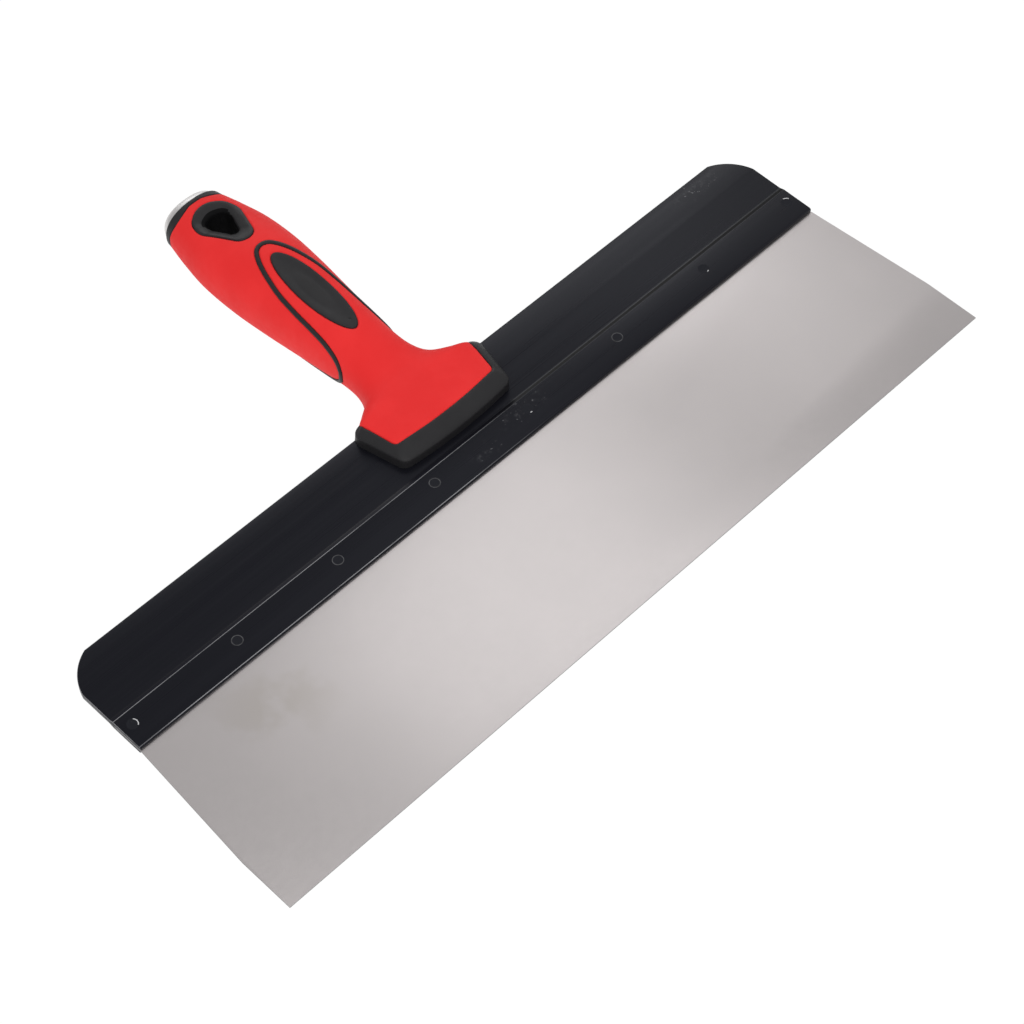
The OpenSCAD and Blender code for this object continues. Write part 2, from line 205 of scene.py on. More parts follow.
def foot_outline(level, corner):
    """Bowed front edge, sides that flare to the back, round corners."""
    half, front, back, flare = level
    lean = flare / (back - front - FOOT_BOW)

    def side(y):
        return half + lean * (y - front - FOOT_BOW) - corner * math.hypot(1, lean)

    # Middle of the round corner between the bowed front and the side, found by repeated steps
    y = front
    for _ in range(20):
        x = side(y)
        y = front + corner + FOOT_BOW * (x / half) ** 2
    along = np.linspace(0, x, 17)
    right = np.vstack([np.column_stack([along, front + corner + FOOT_BOW * (along / half) ** 2]),
                       [[side(back - corner), back - corner]]])
    return even(grown(np.concatenate([right, (right * [-1, 1])[:0:-1]]), corner), 240)


def grown(outline, r):
    """A convex outline, counter-clockwise, grown by r with round corners."""
    edge = np.roll(outline, -1, 0) - outline
    facing = np.arctan2(-edge[:, 0], edge[:, 1])
    out = []
    for point, before, after in zip(outline, np.roll(facing, 1), facing):
        turn = (after - before) % (2 * math.pi)
        a = before + np.linspace(0, turn, max(2, int(turn / 0.08)))
        out.append(point + r * np.column_stack([np.cos(a), np.sin(a)]))
    return np.concatenate(out)


def distance_to(outline, x, y):
    """Signed distance of plan points from a closed outline, negative inside."""
    a, b = outline, np.roll(outline, -1, 0)
    p = np.stack([x, y], -1).reshape(-1, 2)
    best = np.full(len(p), 1e9)
    inside = np.zeros(len(p), bool)
    for s, e in zip(a, b):
        d = e - s
        t = np.clip(((p - s) @ d) / max(d @ d, 1e-12), 0, 1)
        best = np.minimum(best, np.linalg.norm(p - s - t[:, None] * d, axis=1))
        crosses = (s[1] > p[:, 1]) != (e[1] > p[:, 1])
        at = s[0] + (p[:, 1] - s[1]) * d[0] / (d[1] if abs(d[1]) > 1e-12 else 1e-12)
        inside ^= crosses & (p[:, 0] < at)
    return np.where(inside, -best, best).reshape(x.shape)


# ---- mesh building ----
def piece(name, points, faces, material, replaces, smooth_angle=35, accents=(), accent_of=None):
    """A mesh piece; accent_of gives a face, by its centre, the number of its accent material, or 0."""
    points = np.asarray(points)
    mesh = bpy.data.meshes.new(name)
    mesh.from_pydata((points * MM).tolist(), [], [tuple(int(i) for i in f) for f in faces])
    if accents:
        for face, corners in zip(mesh.polygons, faces):
            face.material_index = int(accent_of(points[list(corners)].mean(0)))
    mesh.transform(TOOL)
    obj = bpy.data.objects.new(name, mesh)
    bpy.context.scene.collection.objects.link(obj)
    face_out(mesh)
    shade(mesh, smooth_angle)
    for m in (material, *accents):
        mesh.materials.append(m)
    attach(obj, "root")
    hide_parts(*replaces)
    return obj


def face_out(mesh):
    """Merge double points and turn every face outward."""
    bm = bmesh.new()
    bm.from_mesh(mesh)
    bmesh.ops.remove_doubles(bm, verts=bm.verts, dist=1e-7)
    bmesh.ops.recalc_face_normals(bm, faces=bm.faces)
    bm.to_mesh(mesh)
    bm.free()


def shade(mesh, smooth_angle):
    mesh.polygons.foreach_set("use_smooth", [True] * len(mesh.polygons))
    mesh.set_sharp_from_angle(angle=math.radians(smooth_angle))
    mesh.update()


def apply_modifiers(obj):
    graph = bpy.context.evaluated_depsgraph_get()
    mesh = bpy.data.meshes.new_from_object(obj.evaluated_get(graph))
    obj.modifiers.clear()
    obj.data = mesh


def bevel(obj, width, segments, angle, material=-1):
    """Round the edges sharper than an angle, in the faces' own material or one of the accents."""
    mod = obj.modifiers.new("bevel", "BEVEL")
    mod.width = width * MM
    mod.segments = segments
    mod.limit_method = "ANGLE"
    mod.angle_limit = math.radians(angle)
    mod.material = material
    apply_modifiers(obj)
    shade(obj.data, 40)


def band_faces(rows, count, close_rows=False):
    """Quads between closed rings of count points; the last ring may join the first."""
    out = []
    for j in range(rows if close_rows else rows - 1):
        a, b = j * count, (j + 1) % rows * count
        out += [(a + k, a + (k + 1) % count, b + (k + 1) % count, b + k) for k in range(count)]
    return out


def ring_stack(rings):
    """A closed skin over rings of points, with flat ends."""
    n = len(rings[0])
    ends = [tuple(range(n)), tuple(range((len(rings) - 1) * n, len(rings) * n))]
    return np.concatenate(rings), band_faces(len(rings), n) + ends


# ---- materials ----
class Shader:
    """A Principled material and a few short ways to add nodes to it."""

    def __init__(self, name, color, roughness, metallic=0.0, specular=0.5):
        self.mat = bpy.data.materials.new(name)
        self.mat.use_nodes = True
        self.tree = self.mat.node_tree
        self.bsdf = self.tree.nodes["Principled BSDF"]
        self.bsdf.inputs["Base Color"].default_value = (*color, 1)
        self.bsdf.inputs["Roughness"].default_value = roughness
        self.bsdf.inputs["Metallic"].default_value = metallic
        self.bsdf.inputs["Specular IOR Level"].default_value = specular
        self.coord = self.node("ShaderNodeTexCoord").outputs["Object"]

    def node(self, kind, **values):
        n = self.tree.nodes.new(kind)
        for key, value in values.items():
            setattr(n, key, value)
        return n

    def link(self, a, b):
        self.tree.links.new(a, b)

    def stretched(self, scale, move=(0, 0, 0)):
        m = self.node("ShaderNodeMapping")
        m.inputs["Scale"].default_value = scale
        m.inputs["Location"].default_value = move
        self.link(self.coord, m.inputs["Vector"])
        return m.outputs["Vector"]

    def noise(self, scale, detail=2.0, roughness=0.5, vector=None):
        n = self.node("ShaderNodeTexNoise")
        n.inputs["Scale"].default_value = scale
        n.inputs["Detail"].default_value = detail
        n.inputs["Roughness"].default_value = roughness
        self.link(vector or self.coord, n.inputs["Vector"])
        return n.outputs["Fac"]

    def ramp(self, value, low, high, to_low=0.0, to_high=1.0):
        n = self.node("ShaderNodeMapRange", interpolation_type="SMOOTHSTEP")
        self.link(value, n.inputs["Value"])
        for key, v in zip(("From Min", "From Max", "To Min", "To Max"), (low, high, to_low, to_high)):
            n.inputs[key].default_value = v
        return n.outputs["Result"]

    def math(self, kind, a, b):
        n = self.node("ShaderNodeMath", operation=kind)
        for socket, v in zip(n.inputs, (a, b)):
            if isinstance(v, (int, float)):
                socket.default_value = v
            else:
                self.link(v, socket)
        return n.outputs[0]

    def mix(self, share, a, b):
        n = self.node("ShaderNodeMix", data_type="RGBA")
        for socket, v in ((n.inputs[0], share), (n.inputs[6], a), (n.inputs[7], b)):
            if isinstance(v, tuple):
                socket.default_value = (*v, 1)
            elif isinstance(v, (int, float)):
                socket.default_value = v
            else:
                self.link(v, socket)
        return n.outputs[2]

    def near(self, x, y, radius_x, radius_y):
        """1 at a place in the tool plane, in millimetres, falling to 0 at the two radii."""
        place = TOOL @ (Vector((x, y, 0)) * MM) / MM
        m = self.stretched((1 / (radius_x * MM), 1 / (radius_y * MM), 0),
                           (-place.x / radius_x, -place.y / radius_y, 0))
        d = self.node("ShaderNodeVectorMath", operation="LENGTH")
        self.link(m, d.inputs[0])
        return self.ramp(d.outputs["Value"], 1.0, 0.0)

    def side(self):
        """The place across the tool, in millimetres from its middle."""
        n = self.node("ShaderNodeSeparateXYZ")
        self.link(self.coord, n.inputs[0])
        return self.math("MULTIPLY", n.outputs["X"], 1 / MM)

    def color(self, value):
        self.link(value, self.bsdf.inputs["Base Color"])

    def rough(self, value):
        self.link(value, self.bsdf.inputs["Roughness"])

    def bump(self, height, strength, distance, after=None):
        n = self.node("ShaderNodeBump")
        n.inputs["Strength"].default_value = strength
        n.inputs["Distance"].default_value = distance * MM
        self.link(height, n.inputs["Height"])
        if after is not None:
            self.link(after, n.inputs["Normal"])
        self.link(n.outputs["Normal"], self.bsdf.inputs["Normal"])
        return n.outputs["Normal"]


def soft_touch(name, color, lighter, roughness, specular):
    """Matt moulded rubber: fine spark texture, faint clouding."""
    s = Shader(name, color, roughness, specular=specular)
    cloud = s.ramp(s.noise(55, 3), 0.35, 0.7)
    s.color(s.mix(cloud, color, lighter))
    s.rough(s.ramp(s.noise(400, 3), 0.3, 0.7, roughness - 0.05, roughness + 0.06))
    grain = s.bump(s.noise(2600, 2, 0.6), 0.22, 0.05)
    s.bump(s.noise(90, 2), 0.1, 0.25, after=grain)
    return s.mat


def blade_steel():
    s = Shader("satin_steel", (0.68, 0.64, 0.637), 0.31, metallic=1)
    lines = s.noise(900, 4, 0.6, s.stretched((0.3, 1, 1)))
    mottle = s.noise(30, 4)
    base = s.mix(s.ramp(mottle, 0.35, 0.7), (0.675, 0.635, 0.632), (0.69, 0.648, 0.645))
    stain_shape = s.ramp(s.noise(45, 3, 0.5), 0.42, 0.6)
    stain = s.math("MULTIPLY", stain_shape, s.near(-126, -18, 36, 26))
    base = s.mix(s.math("MULTIPLY", stain, 0.36), base, (0.50, 0.455, 0.395))
    s.color(base)
    s.rough(s.ramp(lines, 0.3, 0.7, 0.29, 0.33))
    s.bump(lines, 0.05, 0.01)
    return s.mat


def ground_edge():
    """The blade's narrow ground edge, duller than its faces."""
    s = Shader("ground_edge", (0.2, 0.196, 0.195), 0.35, metallic=1)
    s.rough(s.ramp(s.noise(700, 3), 0.3, 0.7, 0.3, 0.42))
    return s.mat


def coated(name, color, roughness, specular):
    """A black coating on metal, with a cool sheen."""
    s = Shader(name, color, roughness, specular=specular)
    s.bsdf.inputs["Specular Tint"].default_value = (0.86, 0.88, 1, 1)
    return s


def backer_black():
    s = coated("black_anodised", (0.0068, 0.007, 0.0098), 0.3, 0.17)
    streaks = s.noise(260, 4, 0.6, s.stretched((0.012, 1, 1)))
    scuff_places = s.math("MAXIMUM", s.near(23, 11, 18, 8), s.near(0, 6, 10, 5))
    scuff_places = s.math("MAXIMUM", scuff_places, s.near(146, 40, 17, 7))
    smear = s.ramp(s.noise(260, 6, 0.75), 0.5, 0.72, 0, 0.6)
    specks = s.ramp(s.noise(700, 2, 0.5), 0.67, 0.7, 0, 2)
    scuff = s.math("MULTIPLY", s.math("MAXIMUM", smear, specks), scuff_places)
    streak_share = s.ramp(streaks, 0.45, 0.75, 0, 0.5)
    base = s.mix(streak_share, (0.0062, 0.0064, 0.0092), (0.0105, 0.0108, 0.0142))
    s.color(s.mix(scuff, base, (0.09, 0.09, 0.095)))
    s.rough(s.ramp(streaks, 0.3, 0.7, 0.26, 0.36))
    s.bump(streaks, 0.06, 0.03)
    return s.mat


def rivet_black():
    s = coated("rivet_black", (0.009, 0.0095, 0.0125), 0.3, 0.17)
    worn = s.ramp(s.noise(1400, 3), 0.6, 0.75)
    s.color(s.mix(worn, (0.008, 0.0085, 0.0115), (0.014, 0.0145, 0.017)))
    s.bump(s.noise(1500, 2), 0.1, 0.03)
    return s.mat


def worn_edge_and_highlight():
    """Black coating rubbed thin along an edge, so that the metal shows in places, with a painted
    highlight that is bright at the tool's left end and fades out towards the right.
    """
    s = coated("worn_edge_and_highlight", (0.03, 0.03, 0.032), 0.32, 0.2)
    rub = s.ramp(s.noise(90, 4, 0.6, s.stretched((0.35, 1, 1))), 0.22, 0.58)
    # Painted highlight: the rubbed edge is made bright at the left end and nearly black at the right,
    # as the light falls
    highlight_fade = s.ramp(s.side(), -20, 30, 1, 0.02)
    s.color(s.mix(s.math("MULTIPLY", rub, highlight_fade), (0.007, 0.007, 0.01), (0.24, 0.24, 0.25)))
    return s.mat


def painted_crease(name, left, right, specular):
    """The step across the backer, with light and shade painted into its colour, changing from its left
    end to its right.
    """
    s = Shader(name, left, 0.3, specular=specular)
    s.color(s.mix(s.ramp(s.side(), -30, 50), left, right))
    return s.mat


def rivet_ring():
    s = Shader("rivet_ring", (0.06, 0.06, 0.065), 0.4, specular=0.4)
    rub = s.ramp(s.noise(500, 3), 0.35, 0.65)
    s.color(s.mix(rub, (0.018, 0.018, 0.02), (0.06, 0.06, 0.065)))
    return s.mat


def bare_metal():
    s = Shader("bare_aluminium", (0.62, 0.62, 0.63), 0.3, metallic=0.7)
    s.rough(s.ramp(s.noise(1500, 2), 0.3, 0.7, 0.25, 0.4))
    return s.mat


def cap_metal():
    s = Shader("cap_metal", (0.73, 0.715, 0.71), 0.45, metallic=1)
    turned = s.noise(700, 3, 0.6, s.stretched((0.25, 1, 1)))
    s.rough(s.ramp(turned, 0.3, 0.7, 0.42, 0.52))
    s.bump(turned, 0.12, 0.03)
    return s.mat


def hidden_steel():
    s = Shader("inner_steel", (0.5, 0.5, 0.51), 0.42, metallic=1)
    s.rough(s.ramp(s.noise(500, 3, 0.6, s.stretched((1, 0.05, 1))), 0.3, 0.7, 0.36, 0.5))
    return s.mat


RED = soft_touch("red_soft_touch", (0.79, 0.0275, 0.0275), (0.83, 0.032, 0.032), 0.6, 0.13)
BLACK = soft_touch("black_soft_touch", (0.0145, 0.014, 0.0155), (0.0175, 0.017, 0.0185), 0.46, 0.29)
# Painted shade: the hang hole's liner is the same black rubber, painted much darker and duller inside
# its throat
THROAT_SHADE = soft_touch("throat_painted_shade", (0.004, 0.004, 0.0045), (0.005, 0.005, 0.0055), 0.7, 0.08)
CORE = soft_touch("core_plastic", (0.03, 0.03, 0.031), (0.036, 0.036, 0.037), 0.4, 0.5)
STEEL = blade_steel()
EDGE = ground_edge()
BACKER = backer_black()
RIVET = rivet_black()
WORN_AND_HIGHLIGHT = worn_edge_and_highlight()
# Painted light and shade on the backer's step: the ramp is painted lighter at the left end and dark at
# the right, and its foot carries a painted highlight line that grows towards the right
RAMP_LIGHT_AND_SHADE = painted_crease("crease_ramp_painted_light_and_shade", (0.011, 0.011, 0.016), (0.0015, 0.0015, 0.002), 0.08)
CREASE_HIGHLIGHT = painted_crease("crease_foot_painted_highlight", (0.008, 0.008, 0.011), (0.021, 0.022, 0.026), 0.2)
BARE = bare_metal()
RING = rivet_ring()
CAP = cap_metal()
INNER = hidden_steel()


# ---- blade, backer, rivets ----
def make_blade():
    side = [(HALF_BLADE, -REACH), (HALF_BLADE, BLADE_SIDE - REACH), (HALF_BACKER, 0),
            (HALF_BACKER, BLADE_TUCK)]
    outline = side + [(-x, y) for x, y in reversed(side)]
    n = len(outline)
    points = [(x, y, z) for z in (-BLADE_T / 2, BLADE_T / 2) for x, y in outline]
    faces = [tuple(range(n)), tuple(range(n, 2 * n))] + band_faces(2, n)
    obj = piece("blade_sheet", points, faces, STEEL, ["blade"], accents=(EDGE,),
                accent_of=lambda centre: abs(centre[2]) < BLADE_T / 4)
    bevel(obj, 0.09, 2, 30)


def corner_half(y):
    """Half length of the backer at a place: its back corners are cut by a bulging arc."""
    start = np.array([HALF_BACKER, BACKER_DEPTH - CORNER_Y])
    stop = np.array([HALF_BACKER - CORNER_X, BACKER_DEPTH])
    chord = stop - start
    half = np.linalg.norm(chord) / 2
    out = np.array([chord[1], -chord[0]]) / (2 * half)
    centre = (start + stop) / 2 - out * math.sqrt(CORNER_R**2 - half**2)
    y = np.asarray(y, float)
    arc = centre[0] + np.sqrt(np.maximum(CORNER_R**2 - (y - centre[1]) ** 2, 0))
    return np.where(y <= start[1], HALF_BACKER, arc)


def make_backer():
    """The extruded profile, whose jaw steps down to the plate over a short ramp."""
    slot = BLADE_T / 2 + 0.05
    tail = np.linspace(BACKER_DEPTH - CORNER_Y, BACKER_DEPTH, 22)
    top = [
        (13, slot), (0, slot), (0, HALF_JAW - 0.9), (0.1, HALF_JAW - 0.48), (0.3, HALF_JAW - 0.22),
        (0.56, HALF_JAW - 0.06), (0.9, HALF_JAW), (14.05, HALF_JAW), (14.35, HALF_JAW - 0.06),
        (15.7, HALF_PLATE + 0.14), (16.1, HALF_PLATE + 0.02), (16.6, HALF_PLATE),
    ]
    top += [(y, HALF_PLATE) for y in tail]
    profile = top + [(y, -z) for y, z in reversed(top)]
    n = len(profile)
    points = []
    for sign in (-1, 1):
        points += [(sign * float(corner_half(y)), y, z) for y, z in profile]
    faces = band_faces(2, n)
    body = len(top) - len(tail)
    front = list(range(body + 1)) + list(range(n - body - 1, n))
    for base in (0, n):
        faces.append(tuple(base + k for k in front))
        for k in range(body, len(top) - 1):
            faces.append((base + k, base + k + 1, base + n - 2 - k, base + n - 1 - k))

    def line(centre):
        """Worn edge with a painted highlight along the crease and the front edge, then the ramp's
        painted light and shade and the painted highlight at the foot of the ramp.
        """
        x, y, z = centre
        if abs(x) > 1 or abs(z) < HALF_PLATE:
            return 0
        if 14.1 < y < 14.3 or 0.35 < y < 0.5:
            return 1
        return 2 if 14.3 < y < 15.8 else 3 if 15.8 < y < 16.1 else 0

    obj = piece("backer_extrusion", points, faces, BACKER, ["backer"],
                accents=(WORN_AND_HIGHLIGHT, RAMP_LIGHT_AND_SHADE, CREASE_HIGHLIGHT), accent_of=line)
    # The rounded edges take the worn edge with its painted highlight
    bevel(obj, 0.2, 2, 50, material=1)


def lathe(profile, centre, count=48):
    """A turned skin over rows of radius and height, round a point of the tool plane."""
    turn = np.linspace(0, 2 * math.pi, count, endpoint=False)
    x, y = np.cos(turn), np.sin(turn)
    rings = [np.stack([centre[0] + r * x, centre[1] + r * y, np.full(count, z)], 1) for r, z in profile]
    return ring_stack(rings)


def make_rivets():
    """Flush heads on both faces, each with a ring round its upper head."""
    nodes = sorted(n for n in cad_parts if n.startswith("blade_rivet_"))
    for name in nodes:
        low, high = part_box(name)
        place = TOOL.inverted() @ ((low + high) / 2) / MM
        number = int(name[-1])
        middle, reach = RUBBED.get(number, (0, 180))
        profile = [(r, -z) for r, z in reversed(HALF_RIVET)] + HALF_RIVET[1:]
        points, faces = lathe(profile, (place.x, place.y))

        def is_rubbed(centre):
            x, y = centre[0] - place.x, centre[1] - place.y
            off = math.degrees(math.atan2(y, x)) - middle
            in_ring = centre[2] > 1.85 and 1.9 < math.hypot(x, y) < 2.2
            return in_ring and abs((off + 180) % 360 - 180) < reach

        piece(name.replace("blade_rivet", "flush_rivet"), points, faces, RIVET, [name],
              accents=(BARE if number in RUBBED else RING,), accent_of=is_rubbed)


# ---- the grip ----
def ellipse_distance(x, y):
    """Signed distance from a thumb pad's outline, near enough to it."""
    u, v = x / (PAD_W / 2), (y - PAD_Y) / (PAD_LEN / 2)
    f = np.sqrt(u * u + v * v) + 1e-9
    slope = np.sqrt((u / (PAD_W / 2)) ** 2 + (v / (PAD_LEN / 2)) ** 2) / f
    return (f - 1) / np.maximum(slope, 1e-6)


def rib_path(count):
    """Points along the rib, once round the grip: right side, underside, left side."""
    angle = np.linspace(0, 360, count, endpoint=False)
    fold = np.abs((angle + 90) % 180 - 90)
    place = read(RIB, fold)[:, 1]
    return skin_point(place, np.radians(angle))


def edge_dip(s, depth, radius):
    """How far a moulded edge sinks at a distance s outside a seam, and behind it."""
    t = np.clip(1 - s / radius, 0, 1)
    return depth * (1 - np.sqrt(np.maximum(1 - t * t, 0)))


def foot_spread(y):
    """The foot's section runs on a little under the collar."""
    return 1.3 * (1 - smooth_step(38, 46.5, y))


def section_grid(places, per_quarter):
    """Points of the skin, evenly spread within each quarter of each section."""
    fine = np.linspace(0, math.pi / 2, 400)
    rows = []
    for y in places:
        w, top, bottom, n = (float(v[0]) for v in grip_at(y))
        w += foot_spread(y)
        ring = []
        for quarter in range(4):
            q = section_point(y, w, top, bottom, n, fine + quarter * math.pi / 2)
            reach = np.concatenate([[0], np.cumsum(np.linalg.norm(np.diff(q, axis=0), axis=1))])
            at = np.linspace(0, reach[-1], per_quarter, endpoint=False)
            ring.append(np.stack([np.interp(at, reach, q[:, k]) for k in range(3)], 1))
        rows.append(np.concatenate(ring))
    return np.array(rows)


def make_sleeve():
    """The red skin: sunk at every seam, open where an insert sits, then given its thickness."""
    places = np.unique(np.concatenate([
        np.arange(SLEEVE_FRONT - 1, 45, 0.5), np.arange(45, 53, 0.25), np.arange(53, 164, 0.5),
        np.linspace(164, SLEEVE_BACK + 0.2, 30)]))
    grid = section_grid(places, 64)
    normals = grid_normals(grid)
    x, y = grid[..., 0], grid[..., 1]
    pad = ellipse_distance(x, y)
    eye = distance_to(eye_outline(EYE_RIM, 120), x, y)
    # Distance inside the foot's outline, run on behind so that its back edge leaves no mark
    half, front, back, flare = RED_FOOT
    long_back = 60.0
    long_flare = flare * (long_back - front - FOOT_BOW) / (back - front - FOOT_BOW)
    foot = -distance_to(foot_outline((half, front, long_back, long_flare), FOOT_ROUND), x, y)
    foot = np.where(y > 50, 9, foot)
    tree = kd_tree(rib_path(900))
    rib = np.array([tree.find(p)[2] for p in grid.reshape(-1, 3)]).reshape(x.shape) - RIB_W / 2
    foot_share = 1 - smooth_step(*FOOT_FADE, y)
    dip = np.maximum(edge_dip(pad, *INSERT_SEAM), edge_dip(eye, *INSERT_SEAM))
    dip = np.maximum(dip, edge_dip(foot, *INSERT_SEAM) * foot_share)
    dip = np.maximum(dip, edge_dip(rib, *RIB_SEAM))
    dip = np.maximum(dip, edge_dip(SLEEVE_BACK - ring_ear(x) - y, *RING_SEAM))
    # Under the collar the skin sinks on
    dip = dip + np.where(foot < 0, 0.5 * np.minimum(-foot, 3), 0) * foot_share
    grid = grid - normals * dip[..., None]
    # The skin stops a little way in under each insert
    hidden = (pad < -1.1) | (eye < -1.1) | (foot < -1.5)
    rows, count = x.shape
    faces = []
    for j in range(rows - 1):
        for k in range(count):
            m = (k + 1) % count
            if not (hidden[j, k] or hidden[j, m] or hidden[j + 1, k] or hidden[j + 1, m]):
                faces.append((j * count + k, j * count + m, (j + 1) * count + m, (j + 1) * count + k))
    points = grid.reshape(-1, 3)
    used = np.unique(np.array(faces))
    renumber = np.full(len(points), -1)
    renumber[used] = np.arange(len(used))
    obj = piece("red_sleeve", points[used], [tuple(renumber[list(f)]) for f in faces],
                RED, ["grip_sleeve"], 180)
    mod = obj.modifiers.new("thickness", "SOLIDIFY")
    mod.thickness = SLEEVE_T * MM
    mod.offset = -1
    apply_modifiers(obj)
    shade(obj.data, 60)


def kd_tree(points):
    tree = KDTree(len(points))
    for i, p in enumerate(points):
        tree.insert(p, i)
    tree.balance()
    return tree


def make_rib():
    count = 420
    path = rib_path(count)
    along = np.roll(path, -1, 0) - np.roll(path, 1, 0)
    along /= np.linalg.norm(along, axis=1, keepdims=True)
    out = path_normals(path)
    across = np.cross(along, out)
    flank = [(1, -0.9), (1, -0.1), (0.93, 0.12), (0.72, 0.3), (0.35, 0.42)]
    section = [(-u, v) for u, v in flank] + [(0, 0.45)] + flank[::-1]
    section = [(u * RIB_W / 2, v) for u, v in section]
    rings = np.stack([path + u * across + v * out for u, v in section], 1)
    points = rings.reshape(-1, 3)
    piece("rib_loop", points, band_faces(count, len(section), close_rows=True), BLACK,
          ["accent_rib"], 60)


def path_normals(points):
    """Outward normals of the skin at points on it."""

    def level(p):
        w, top, bottom, n = grip_at(p[:, 1])
        mid, half = (top - bottom) / 2, (top + bottom) / 2
        return np.abs(p[:, 0] / w) ** n + np.abs((p[:, 2] - mid) / half) ** n

    step = 0.02
    g = np.stack([(level(points + step * e) - level(points - step * e)) for e in np.eye(3)], 1)
    return g / np.linalg.norm(g, axis=1, keepdims=True)


def make_pad(side):
    """A dished pad; the upper one (side 1) has the small mark of the mould's gate."""
    name, node = "thumb_pad_lower", "thumb_pad_bottom"
    gate_depth = 0
    if side > 0:
        name, node = "thumb_pad_upper", "thumb_pad_top"
        gate_depth = 0.5
    turn = np.linspace(0, 2 * math.pi, 200, endpoint=False)
    shares = np.concatenate([np.linspace(0.01, 0.9, 60), np.linspace(0.915, 1, 9)])
    rings = []
    for share in shares:
        x, y = PAD_W / 2 * share * np.cos(turn), PAD_Y + PAD_LEN / 2 * share * np.sin(turn)
        inside = -ellipse_distance(x, y)
        edge = edge_dip(inside, 0.45, 0.6)
        dish = PAD_DISH * (1 - smooth_step(0.45, 1.02, share))
        gate = gate_depth * np.exp(-((x - 0.6) ** 2 + (y - 79.2) ** 2) / 0.12)
        surface = np.stack([x, y, skin_z(x, y, side)], 1)
        rings.append(surface + path_normals(surface) * (0.12 - edge - dish - gate)[:, None])
    wall = rings[-1].copy()
    wall[:, 2] -= side * 1.6
    points, faces = ring_stack(rings + [wall])
    piece(name, points, faces, BLACK, [node], 60)


def make_liner():
    """The hang hole's funnels and its throat, from rim (share 1) to hole (share 0)."""
    count = 168
    rim, hole = eye_outline(EYE_RIM, count), eye_outline(EYE_HOLE, count)
    # Share of the rim's outline, depth under the grip's skin
    profile = [
        (1, 1.6), (1, 0.5), (0.985, 0.2), (0.95, 0.03), (0.9, -0.04), (0.82, 0.02), (0.7, 0.22),
        (0.5, 0.75), (0.3, 1.35), (0.15, 1.85), (0.06, 2.25), (0.02, 2.65), (0, 3.3), (0, 5.6),
    ]
    rings = []
    for side in (1, -1):
        stack = []
        for share, depth in profile:
            plan = hole * (1 - share) + rim * share
            z = skin_z(plan[:, 0], plan[:, 1], side) - side * depth
            stack.append(np.column_stack([plan, z]))
        rings += stack if side > 0 else stack[::-1]
    faces = band_faces(len(rings), count, close_rows=True)
    # The throat inside the hole carries the painted shade
    piece("hang_hole_funnel", np.concatenate(rings), faces, BLACK, ["hang_hole_liner"],
          60, (THROAT_SHADE,), lambda centre: -12 < centre[2] < 9.8)


def ring_ear(x):
    """How far the butt ring's front edge has run forward at a place across the grip."""
    distance = np.clip(np.abs(x), RING_EAR[0, 0], RING_EAR[-1, 0])
    return read(RING_EAR, distance.ravel())[:, 1].reshape(distance.shape)


def end_ring(place, inset, runs_forward=False, count=256):
    """A section of the handle's drawn-in end, which may follow the ring's front edge."""
    a = np.linspace(0, 2 * math.pi, count, endpoint=False)
    y = np.full(count, float(place))
    if runs_forward:
        y -= ring_ear(skin_point(y, a)[:, 0])
    return section_point(y, *grip_at(y), a, inset)


def make_butt_ring():
    # Place, how far the outline has drawn in
    front = [(165, 1.5), (SLEEVE_BACK, 0.55), (166.7, 0.2), (166.95, 0.06), (167.2, 0.04)]
    back = [
        (167.6, 0.05), (168, 0.1), (168.3, 0.21), (168.55, 0.41), (168.71, 0.66), (168.79, 0.95),
        (168.78, 1.2), (168.7, 1.42), (168.2, 1.6),
    ]
    points, faces = ring_stack([end_ring(*row, runs_forward=True) for row in front]
                               + [end_ring(*row) for row in back])
    piece("butt_trim", points, faces, BLACK, ["butt_ring"], 60)


def make_cap():
    # Place, how far the outline has drawn in
    rows = [
        (167, 1.35), (168.9, 1.35), (169.6, 1.4), (170.2, 1.5), (170.8, 1.72), (171.4, 2.05),
        (172, 2.55), (172.5, 3.2), (173, 4.1), (173.4, 5.2), (173.7, 6.6), (173.88, 8), (173.97, 9.4),
    ]
    points, faces = ring_stack([end_ring(*row) for row in rows])
    piece("cap_dome", points, faces, CAP, ["hammer_cap"], 50)


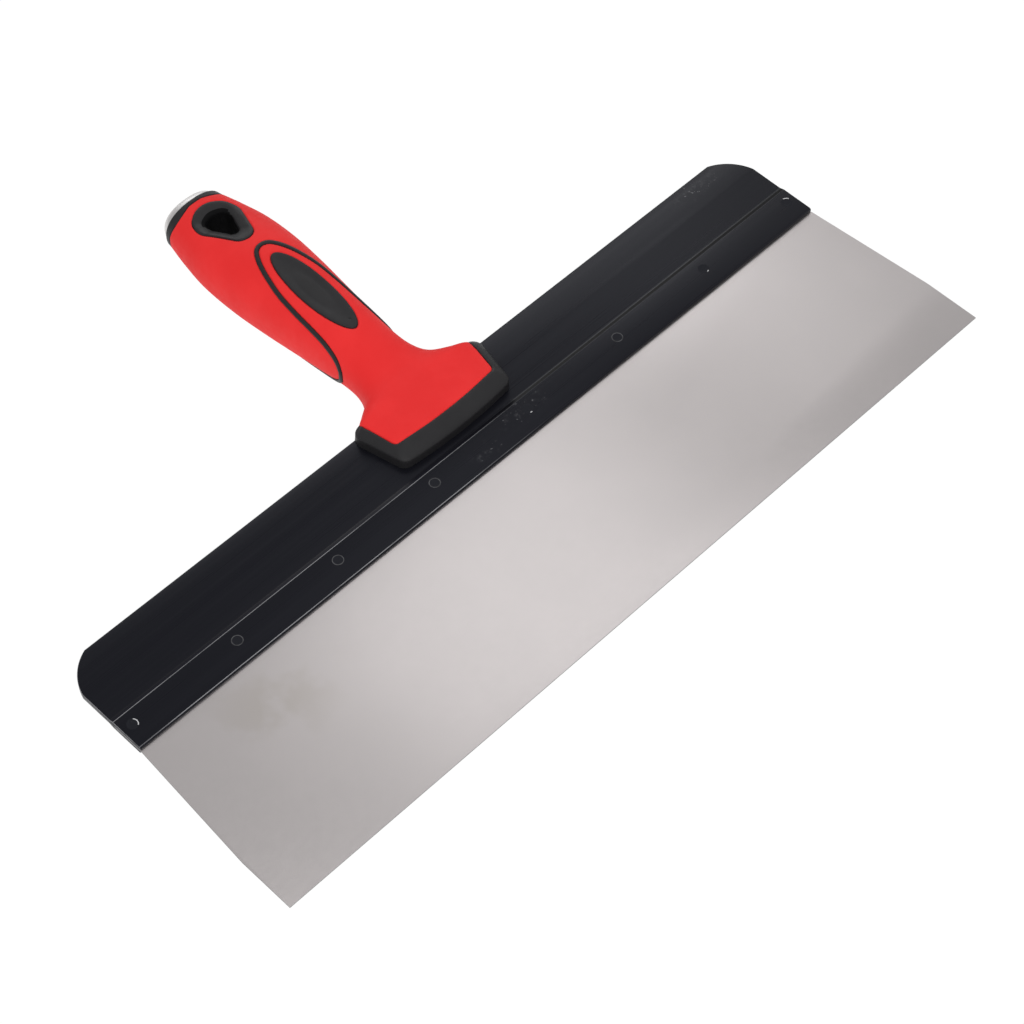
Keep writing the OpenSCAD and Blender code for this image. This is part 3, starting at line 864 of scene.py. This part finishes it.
def make_collar():
    """A closed shell from the rim at the red foot over the shoulder and down, above and below."""
    # Height, half width at the front, front edge, back edge, flare to the back, corner radius
    levels = np.array([
        [6.4, 24.5, 26.6, 44.2, 3.1, 2.2],
        [8.1, 24.8, 26.25, 44.5, 3.1, 2.4],
        [8.42, 25.05, 25.9, 44.6, 3.1, 2.5],
        [8.48, 25.25, 25.55, 44.6, 3.2, 2.7],
        [8.35, 25.5, 25.05, 44.65, 3.4, 2.9],
        [7.8, 25.95, 23.6, 44.7, 3.9, 3.3],
        [7.1, 26.35, 21.9, 44.8, 4.4, 3.7],
        [6.5, 26.65, 20.5, 44.9, 4.8, 3.9],
        [6.1, 26.8, 19.75, 44.95, 5, 4],
        [5.75, 26.95, 19.3, 45, 5.1, 4],
        [5.3, 27.05, 19.05, 45.05, 5.2, 4],
        [4.8, 27.1, 18.98, 45.1, 5.3, 4],
        [3.5, 27.15, 19, 45.1, 5.35, 4],
        [2, 27.2, 19.1, 45.15, 5.4, 4],
        [1, 27.25, 19.15, 45.2, 5.5, 4],
    ])
    crest, base = 8.48, 4.8
    # Above its base the collar follows the red foot's skin, a little under it, more at the back
    rim = foot_outline(levels[2][1:5], levels[2][5])
    w, top, _, n = grip_at(rim[:, 1])
    share = np.clip(np.abs(rim[:, 0]) / (w + foot_spread(rim[:, 1])), 0, 0.999)
    sunk = 0.12 + 0.9 * smooth_step(42.8, 44.5, rim[:, 1])
    rim_z = np.clip(top * (1 - share**n) ** (1 / n) - sunk, 5.5, crest)
    rings = []
    for side in (1, -1):
        stack = []
        for height, half, front, back, flare, corner in levels:
            plan = foot_outline((half, front, back, flare), corner)
            z = np.full(len(plan), height)
            if height > base:
                z = base + (height - base) * (rim_z - base) / (crest - base)
            stack.append(np.column_stack([plan, side * z]))
        rings += stack if side > 0 else stack[::-1]
    faces = band_faces(len(rings), len(rings[0]), close_rows=True)
    piece("foot_collar", np.concatenate(rings), faces, BLACK, ["collar"], 50)


def finish_inner_nodes():
    """The CAD nodes that no piece replaces stay as they are and get their materials."""
    for name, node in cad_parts.items():
        if node.hide_render:
            continue
        node.data.materials.clear()
        node.data.materials.append(CORE if name == "handle_core" else INNER)


make_blade()
make_backer()
make_rivets()
make_sleeve()
make_rib()
make_pad(1)
make_pad(-1)
make_liner()
make_butt_ring()
make_cap()
make_collar()
finish_inner_nodes()


# ---- floor, light and camera ----
def make_floor():
    s = Shader("pale_floor", (0.02, 0.02, 0.02), 1.0, specular=0)
    s.bsdf.inputs["Emission Color"].default_value = (1, 1, 1, 1)
    s.bsdf.inputs["Emission Strength"].default_value = 1.0
    bpy.ops.mesh.primitive_plane_add(size=30, location=(0, 0, FLOOR_Z * MM))
    floor = bpy.context.object
    floor.name = "floor"
    floor.data.materials.append(s.mat)


def make_world():
    world = bpy.data.worlds.new("studio")
    bpy.context.scene.world = world
    world.use_nodes = True
    background = world.node_tree.nodes["Background"]
    background.inputs["Color"].default_value = (1, 1, 1, 1)
    background.inputs["Strength"].default_value = 0.5


def softbox(name, place, size, power, shines=True):
    """A soft light facing the tool, in metres over its plane; without shines nothing mirrors it."""
    light = bpy.data.lights.new(name, "AREA")
    light.shape = "RECTANGLE"
    light.size, light.size_y = size
    light.energy = power
    obj = bpy.data.objects.new(name, light)
    bpy.context.scene.collection.objects.link(obj)
    obj.location = TOOL @ Vector(place)
    obj.rotation_euler = (TOOL @ Vector((0, 0, 0)) - obj.location).to_track_quat("-Z", "Y").to_euler()
    obj.visible_glossy = shines


def make_camera():
    """The photograph's viewpoint, given in the tool's plane, in millimetres."""
    eye = Vector((-413.9, -420.2, 802.4))
    right, up, back = (Vector(v).normalized() for v in (
        (0.70686, -0.70735, 0), (0.57742, 0.57702, 0.57760), (-0.40857, -0.40828, 0.81631)))
    turn = Matrix((right, up, back)).transposed().to_4x4()
    data = bpy.data.cameras.new("camera")
    data.lens, data.sensor_width = 96.35, 36
    camera = bpy.data.objects.new("camera", data)
    bpy.context.scene.collection.objects.link(camera)
    camera.matrix_world = TOOL @ Matrix.Translation(eye * MM) @ turn
    bpy.context.scene.camera = camera


make_floor()
make_world()
softbox("top", (-0.75, -0.95, 1.35), (1.3, 1.3), 11, shines=False)
softbox("sheen", (-0.8, -1, 1.45), (2.2, 2.2), 9)
softbox("glow", (0.45, 0.2, 1.27), (1.02, 0.75), 1.36)
softbox("rim", (1.35, 0.8, 1.05), (0.6, 0.4), 0.4)
softbox("back", (0.95, 1.55, 0.88), (1.62, 0.68), 6)
make_camera()
bpy.context.scene.view_settings.view_transform = "Standard"
